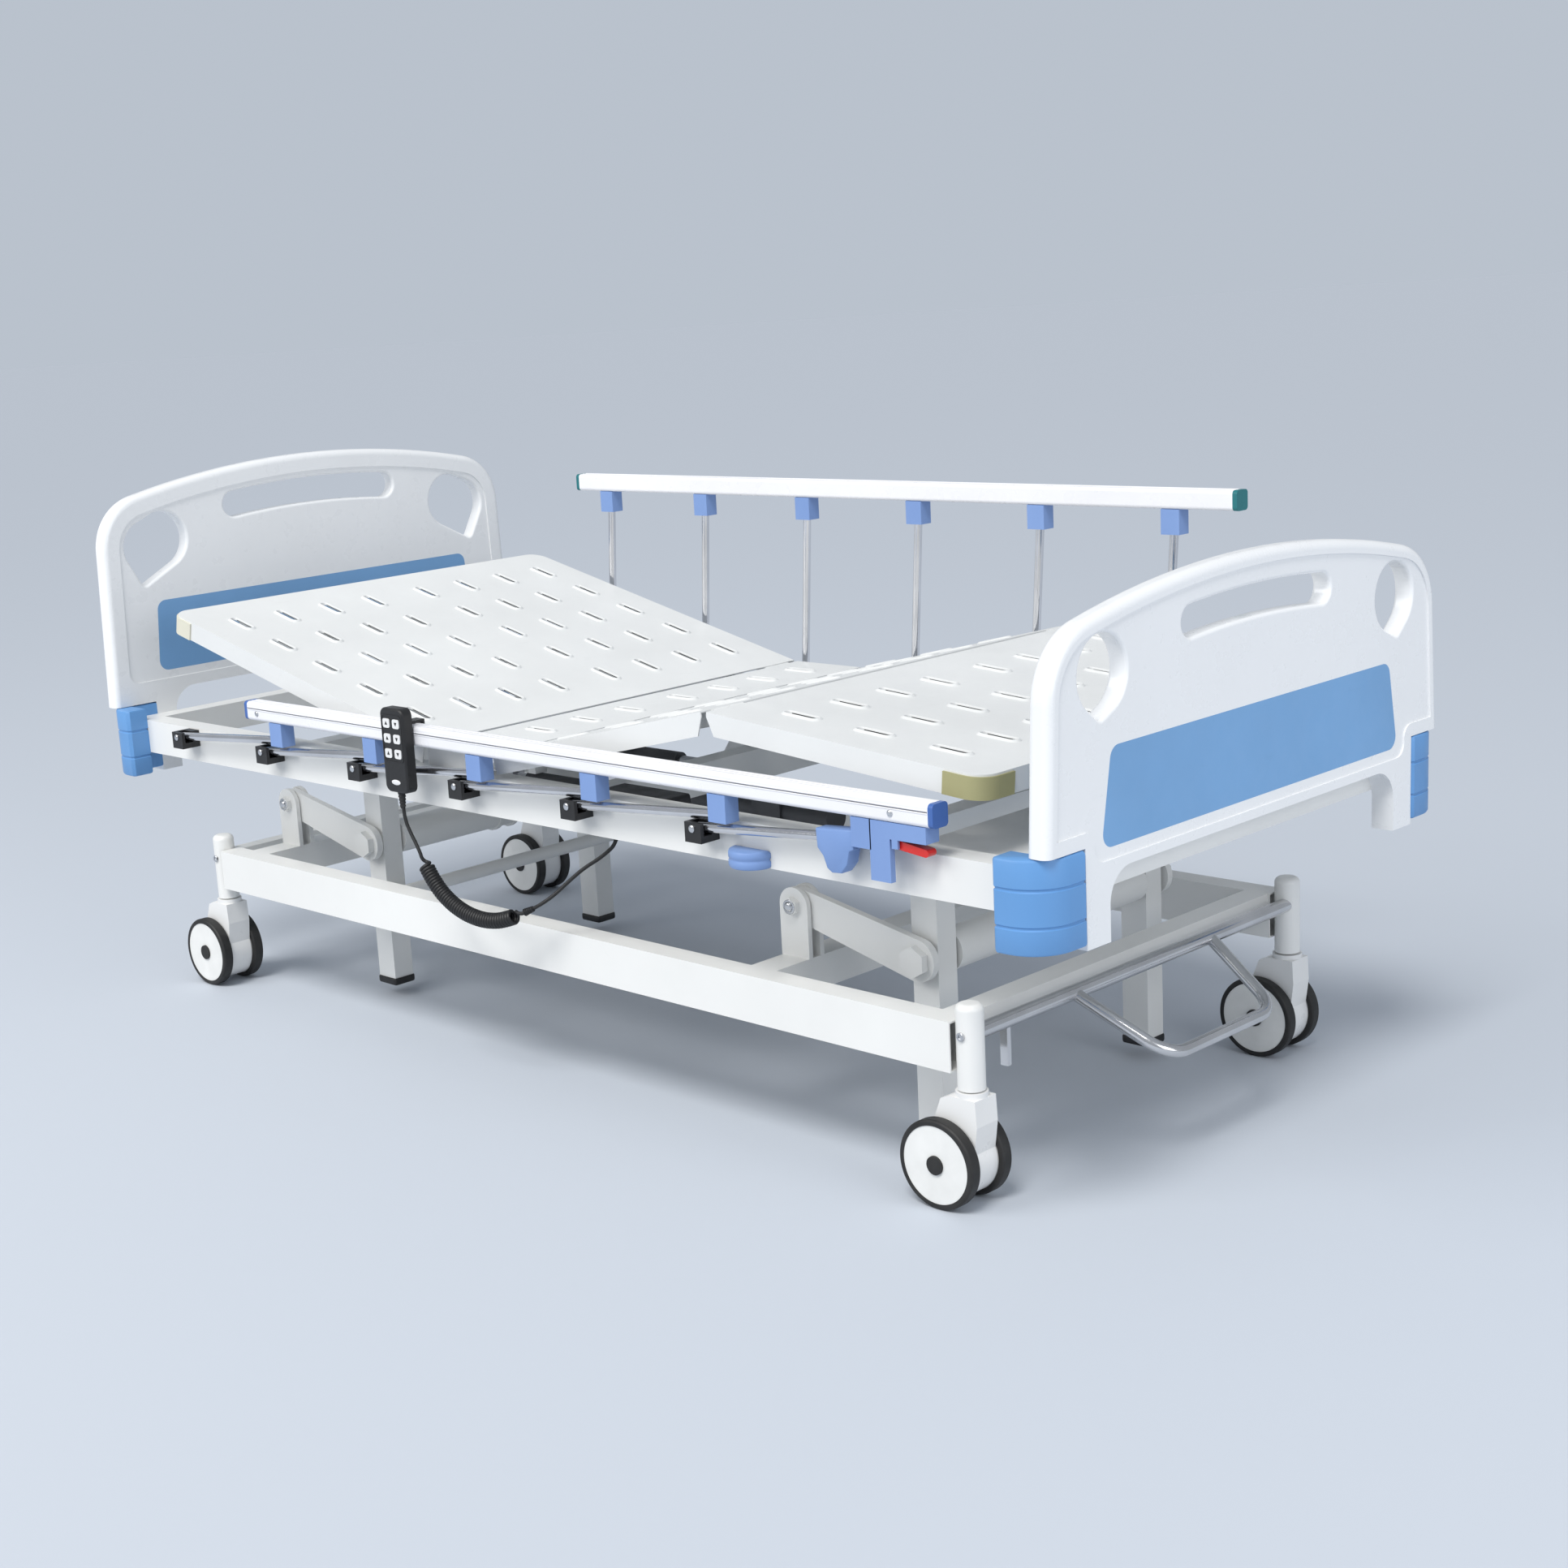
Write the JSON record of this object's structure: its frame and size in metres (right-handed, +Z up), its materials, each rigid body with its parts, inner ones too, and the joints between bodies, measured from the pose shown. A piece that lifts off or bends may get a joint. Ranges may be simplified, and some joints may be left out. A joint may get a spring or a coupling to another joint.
{
  "type": "hospital bed",
  "caption": "Electric hospital bed with two moulded end boards, a slotted four-part platform, folding side rails, a parallel lift and braked twin-wheel castors.",
  "frame": {"origin": "on the floor under the middle of the bed", "axes": "+X to the foot end, +Y to the patient's left side, +Z up"},
  "size_m": [2.15, 0.982, 0.94],
  "materials": {
    "white_steel": "powder-coated, semi-gloss",
    "white_board": "moulded, fine satin",
    "white_castor": "moulded, satin",
    "blue_panel": "satin",
    "blue_bumper": "satin",
    "blue_fitting": "satin",
    "red_lever": "glossy",
    "white_aluminium": "coated extrusion",
    "chrome_steel": "polished",
    "black_plastic": "fine texture",
    "black_cable": "satin",
    "white_key": "matt",
    "beige_cap": "satin",
    "pale_cap": "satin",
    "grey_motor": "fine texture",
    "drive_rod_steel": "bright drawn",
    "wheel_rubber": "tyres black, discs white"
  },
  "bodies": {
    "base": {"base_frame": "white_steel"},
    "brake_pedal": {"brake_pedal": "chrome_steel"},
    "castor_head_right": {"castor_housing_head_right": "white_castor"},
    "wheels_head_right": {"castor_wheels_head_right": "wheel_rubber"},
    "castor_head_left": {"castor_housing_head_left": "white_castor"},
    "wheels_head_left": {"castor_wheels_head_left": "wheel_rubber"},
    "castor_foot_right": {"castor_housing_foot_right": "white_castor"},
    "wheels_foot_right": {"castor_wheels_foot_right": "wheel_rubber"},
    "castor_foot_left": {"castor_housing_foot_left": "white_castor"},
    "wheels_foot_left": {"castor_wheels_foot_left": "wheel_rubber"},
    "head_lift_arm": {"head_lift_arm": "white_steel"},
    "foot_lift_arm": {"foot_lift_arm": "white_steel"},
    "lift_link": {"lift_link": "white_steel"},
    "bed_frame": {"bed_frame": "white_steel", "headboard": "white_board", "footboard": "white_board", "board_panels": "blue_panel", "corner_bumpers": "blue_bumper", "seat_section": "white_steel", "rail_brackets": "black_plastic", "back_actuator": "grey_motor", "knee_actuator": "grey_motor", "lift_actuator": "grey_motor", "control_box": "black_plastic"},
    "lift_rod": {"lift_actuator_rod": "drive_rod_steel"},
    "back_section": {"back_section": "white_steel", "back_end_caps": "pale_cap"},
    "back_rod": {"back_actuator_rod": "drive_rod_steel"},
    "thigh_section": {"thigh_section": "white_steel"},
    "leg_section": {"leg_section": "white_steel", "leg_end_caps": "beige_cap"},
    "knee_rod": {"knee_actuator_rod": "drive_rod_steel"},
    "near_rail_post_5": {"near_rail_post_5": "chrome_steel"},
    "near_rail_post_1": {"near_rail_post_1": "chrome_steel"},
    "near_rail_post_2": {"near_rail_post_2": "chrome_steel"},
    "near_rail_post_3": {"near_rail_post_3": "chrome_steel"},
    "near_rail_post_4": {"near_rail_post_4": "chrome_steel"},
    "near_rail_post_6": {"near_rail_post_6": "chrome_steel"},
    "near_rail_top": {"near_rail_bar": "white_aluminium", "near_rail_fittings": "blue_fitting", "handset_case": "black_plastic", "handset_cord_lead": "black_cable", "handset_cord_coil": "black_cable", "handset_cord_box_lead": "black_cable"},
    "near_rail_release": {"near_rail_release": "red_lever"},
    "far_rail_post_3": {"far_rail_post_3": "chrome_steel"},
    "far_rail_post_1": {"far_rail_post_1": "chrome_steel"},
    "far_rail_post_2": {"far_rail_post_2": "chrome_steel"},
    "far_rail_post_4": {"far_rail_post_4": "chrome_steel"},
    "far_rail_post_5": {"far_rail_post_5": "chrome_steel"},
    "far_rail_post_6": {"far_rail_post_6": "chrome_steel"},
    "far_rail_top": {"far_rail_bar": "white_aluminium", "far_rail_fittings": "blue_fitting"},
    "far_rail_release": {"far_rail_release": "red_lever"},
    "handset_key_1": {"handset_key_1": "white_key"},
    "handset_key_2": {"handset_key_2": "white_key"},
    "handset_key_3": {"handset_key_3": "white_key"},
    "handset_key_4": {"handset_key_4": "white_key"},
    "handset_key_5": {"handset_key_5": "white_key"},
    "handset_key_6": {"handset_key_6": "white_key"}
  },
  "joints": [
    {"name": "brake_pedal_tilt", "type": "hinge", "parent": "base", "child": "brake_pedal", "pos_m": [0.878, 0, 0.241], "axis": [0, -1, 0], "range_deg": [-15, 15]},
    {"name": "castor_swivel_head_right", "type": "hinge", "parent": "base", "child": "castor_head_right", "pos_m": [-0.874, -0.382, 0.16], "axis": [0, 0, 1], "continuous": true},
    {"name": "wheel_spin_head_right", "type": "hinge", "parent": "castor_head_right", "child": "wheels_head_right", "pos_m": [-0.906, -0.382, 0.0625], "axis": [0, 1, 0], "continuous": true},
    {"name": "castor_swivel_head_left", "type": "hinge", "parent": "base", "child": "castor_head_left", "pos_m": [-0.874, 0.382, 0.16], "axis": [0, 0, 1], "continuous": true},
    {"name": "wheel_spin_head_left", "type": "hinge", "parent": "castor_head_left", "child": "wheels_head_left", "pos_m": [-0.906, 0.382, 0.0625], "axis": [0, 1, 0], "continuous": true},
    {"name": "castor_swivel_foot_right", "type": "hinge", "parent": "base", "child": "castor_foot_right", "pos_m": [0.874, -0.382, 0.16], "axis": [0, 0, 1], "continuous": true},
    {"name": "wheel_spin_foot_right", "type": "hinge", "parent": "castor_foot_right", "child": "wheels_foot_right", "pos_m": [0.842, -0.382, 0.0625], "axis": [0, 1, 0], "continuous": true},
    {"name": "castor_swivel_foot_left", "type": "hinge", "parent": "base", "child": "castor_foot_left", "pos_m": [0.874, 0.382, 0.16], "axis": [0, 0, 1], "continuous": true},
    {"name": "wheel_spin_foot_left", "type": "hinge", "parent": "castor_foot_left", "child": "wheels_foot_left", "pos_m": [0.842, 0.382, 0.0625], "axis": [0, 1, 0], "continuous": true},
    {"name": "bed_lift", "type": "hinge", "parent": "base", "child": "head_lift_arm", "pos_m": [-0.784, 0, 0.334], "axis": [0, -1, 0], "range_deg": [-5, 55]},
    {"name": "foot_arm_turn", "type": "hinge", "parent": "base", "child": "foot_lift_arm", "pos_m": [0.482, 0, 0.334], "axis": [0, -1, 0], "range_deg": [-5, 55]},
    {"name": "bed_frame_level", "type": "hinge", "parent": "head_lift_arm", "child": "bed_frame", "pos_m": [-0.56319, 0, 0.28586], "axis": [0, -1, 0], "range_deg": [-55, 5]},
    {"name": "lift_link_level", "type": "hinge", "parent": "head_lift_arm", "child": "lift_link", "pos_m": [-0.53989, 0, 0.37279], "axis": [0, -1, 0], "range_deg": [-55, 5]},
    {"name": "lift_rod_slide", "type": "slide", "parent": "bed_frame", "child": "lift_rod", "axis": [-1, 0, 0], "range_m": [-0.00755, 0.07804]},
    {"name": "back_tilt", "type": "hinge", "parent": "bed_frame", "child": "back_section", "pos_m": [-0.178, 0, 0.523], "axis": [0, 1, 0], "range_deg": [-13.4, 56.6]},
    {"name": "back_rod_slide", "type": "slide", "parent": "bed_frame", "child": "back_rod", "axis": [-1, 0, 0], "range_m": [-0.02997, 0.12496]},
    {"name": "thigh_tilt", "type": "hinge", "parent": "bed_frame", "child": "thigh_section", "pos_m": [-0.015, 0, 0.523], "axis": [0, -1, 0], "range_deg": [-13.1, 21.9]},
    {"name": "knee_fold", "type": "hinge", "parent": "thigh_section", "child": "leg_section", "pos_m": [0.45835, 0, 0.63315], "axis": [0, -1, 0], "range_deg": [-29.69, 17.8]},
    {"name": "knee_rod_slide", "type": "slide", "parent": "bed_frame", "child": "knee_rod", "axis": [1, 0, 0], "range_m": [-0.02711, 0.04499]},
    {"name": "near_rail_fold", "type": "hinge", "parent": "bed_frame", "child": "near_rail_post_5", "pos_m": [0.208, -0.462, 0.484], "axis": [0, -1, 0], "range_deg": [0, 81.37], "deforming": ["handset_cord_lead", "handset_cord_coil", "handset_cord_box_lead"]},
    {"name": "near_rail_top_level", "type": "hinge", "parent": "near_rail_post_5", "child": "near_rail_top", "pos_m": [0.51915, -0.462, 0.50701], "axis": [0, -1, 0], "range_deg": [-81.37, 0]},
    {"name": "near_post_1_turn", "type": "hinge", "parent": "bed_frame", "child": "near_rail_post_1", "pos_m": [-0.84, -0.462, 0.484], "axis": [0, -1, 0], "range_deg": [0, 81.37]},
    {"name": "near_post_2_turn", "type": "hinge", "parent": "bed_frame", "child": "near_rail_post_2", "pos_m": [-0.578, -0.462, 0.484], "axis": [0, -1, 0], "range_deg": [0, 81.37]},
    {"name": "near_post_3_turn", "type": "hinge", "parent": "bed_frame", "child": "near_rail_post_3", "pos_m": [-0.316, -0.462, 0.484], "axis": [0, -1, 0], "range_deg": [0, 81.37]},
    {"name": "near_post_4_turn", "type": "hinge", "parent": "bed_frame", "child": "near_rail_post_4", "pos_m": [-0.054, -0.462, 0.484], "axis": [0, -1, 0], "range_deg": [0, 81.37]},
    {"name": "near_post_6_turn", "type": "hinge", "parent": "bed_frame", "child": "near_rail_post_6", "pos_m": [0.47, -0.462, 0.484], "axis": [0, -1, 0], "range_deg": [0, 81.37]},
    {"name": "near_rail_release_press", "type": "hinge", "parent": "near_rail_top", "child": "near_rail_release", "pos_m": [0.83815, -0.462, 0.50901], "axis": [0, -1, 0], "range_deg": [0, 9], "stiffness_Nm_per_rad": 0.5, "springref_deg": -11.46},
    {"name": "far_rail_fold", "type": "hinge", "parent": "bed_frame", "child": "far_rail_post_3", "pos_m": [-0.185, 0.462, 0.484], "axis": [0, 1, 0], "range_deg": [0, 81.37]},
    {"name": "far_rail_top_level", "type": "hinge", "parent": "far_rail_post_3", "child": "far_rail_top", "pos_m": [-0.16106, 0.462, 0.79508], "axis": [0, 1, 0], "range_deg": [-81.37, 0]},
    {"name": "far_post_1_turn", "type": "hinge", "parent": "bed_frame", "child": "far_rail_post_1", "pos_m": [-0.709, 0.462, 0.484], "axis": [0, 1, 0], "range_deg": [0, 81.37]},
    {"name": "far_post_2_turn", "type": "hinge", "parent": "bed_frame", "child": "far_rail_post_2", "pos_m": [-0.447, 0.462, 0.484], "axis": [0, 1, 0], "range_deg": [0, 81.37]},
    {"name": "far_post_4_turn", "type": "hinge", "parent": "bed_frame", "child": "far_rail_post_4", "pos_m": [0.077, 0.462, 0.484], "axis": [0, 1, 0], "range_deg": [0, 81.37]},
    {"name": "far_post_5_turn", "type": "hinge", "parent": "bed_frame", "child": "far_rail_post_5", "pos_m": [0.339, 0.462, 0.484], "axis": [0, 1, 0], "range_deg": [0, 81.37]},
    {"name": "far_post_6_turn", "type": "hinge", "parent": "bed_frame", "child": "far_rail_post_6", "pos_m": [0.601, 0.462, 0.484], "axis": [0, 1, 0], "range_deg": [0, 81.37]},
    {"name": "far_rail_release_press", "type": "hinge", "parent": "bed_frame", "child": "far_rail_release", "pos_m": [0.464, 0.462, 0.456], "axis": [0, -1, 0], "range_deg": [0, 9], "stiffness_Nm_per_rad": 0.5, "springref_deg": -11.46},
    {"name": "handset_key_1_press", "type": "slide", "parent": "near_rail_top", "child": "handset_key_1", "axis": [0, 1, 0], "range_m": [0, 0.001], "stiffness_N_per_m": 400, "springref_m": -0.002},
    {"name": "handset_key_2_press", "type": "slide", "parent": "near_rail_top", "child": "handset_key_2", "axis": [0, 1, 0], "range_m": [0, 0.001], "stiffness_N_per_m": 400, "springref_m": -0.002},
    {"name": "handset_key_3_press", "type": "slide", "parent": "near_rail_top", "child": "handset_key_3", "axis": [0, 1, 0], "range_m": [0, 0.001], "stiffness_N_per_m": 400, "springref_m": -0.002},
    {"name": "handset_key_4_press", "type": "slide", "parent": "near_rail_top", "child": "handset_key_4", "axis": [0, 1, 0], "range_m": [0, 0.001], "stiffness_N_per_m": 400, "springref_m": -0.002},
    {"name": "handset_key_5_press", "type": "slide", "parent": "near_rail_top", "child": "handset_key_5", "axis": [0, 1, 0], "range_m": [0, 0.001], "stiffness_N_per_m": 400, "springref_m": -0.002},
    {"name": "handset_key_6_press", "type": "slide", "parent": "near_rail_top", "child": "handset_key_6", "axis": [0, 1, 0], "range_m": [0, 0.001], "stiffness_N_per_m": 400, "springref_m": -0.002}
  ],
  "couplings": [
    {"joint": "foot_arm_turn", "follows": "bed_lift", "ratio": 1},
    {"joint": "bed_frame_level", "follows": "bed_lift", "ratio": -1},
    {"joint": "lift_link_level", "follows": "bed_lift", "ratio": -1},
    {"joint": "lift_rod_slide", "follows": "bed_lift", "m_per_rad": 0.080781},
    {"joint": "back_rod_slide", "follows": "back_tilt", "m_per_rad": 0.12599},
    {"joint": "knee_fold", "follows": "thigh_tilt", "ratio": -1.3511},
    {"joint": "knee_rod_slide", "follows": "thigh_tilt", "m_per_rad": 0.11639},
    {"joint": "near_post_1_turn", "follows": "near_rail_fold", "ratio": 1},
    {"joint": "near_post_2_turn", "follows": "near_rail_fold", "ratio": 1},
    {"joint": "near_post_3_turn", "follows": "near_rail_fold", "ratio": 1},
    {"joint": "near_post_4_turn", "follows": "near_rail_fold", "ratio": 1},
    {"joint": "near_post_6_turn", "follows": "near_rail_fold", "ratio": 1},
    {"joint": "near_rail_top_level", "follows": "near_rail_fold", "ratio": -1},
    {"joint": "far_post_1_turn", "follows": "far_rail_fold", "ratio": 1},
    {"joint": "far_post_2_turn", "follows": "far_rail_fold", "ratio": 1},
    {"joint": "far_post_4_turn", "follows": "far_rail_fold", "ratio": 1},
    {"joint": "far_post_5_turn", "follows": "far_rail_fold", "ratio": 1},
    {"joint": "far_post_6_turn", "follows": "far_rail_fold", "ratio": 1},
    {"joint": "far_rail_top_level", "follows": "far_rail_fold", "ratio": -1}
  ]
}
